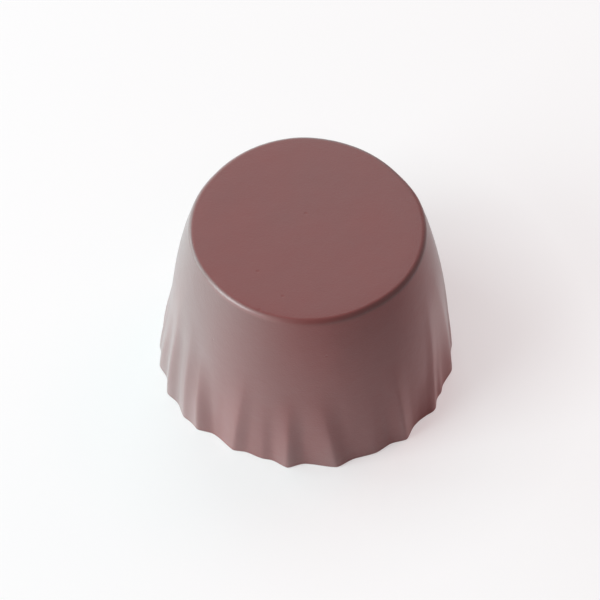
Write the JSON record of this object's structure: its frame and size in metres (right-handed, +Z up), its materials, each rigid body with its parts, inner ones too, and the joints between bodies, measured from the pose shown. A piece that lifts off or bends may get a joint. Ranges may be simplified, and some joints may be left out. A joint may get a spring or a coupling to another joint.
{
  "type": "cupcake liner",
  "caption": "Round cupcake liner standing mouth down, with a flat base, a rounded base edge and a wall that flares to an irregularly pleated rim.",
  "frame": {"origin": "centre of the rim plane, on the cup's axis", "axes": "+Z up along the cup's axis, from the rim that it stands on to the flat base; -Y towards the side pictured"},
  "size_m": [0.0661, 0.0663, 0.0445],
  "materials": {
    "liner": "satin"
  },
  "bodies": {
    "root": {"liner": "liner"}
  },
  "joints": []
}
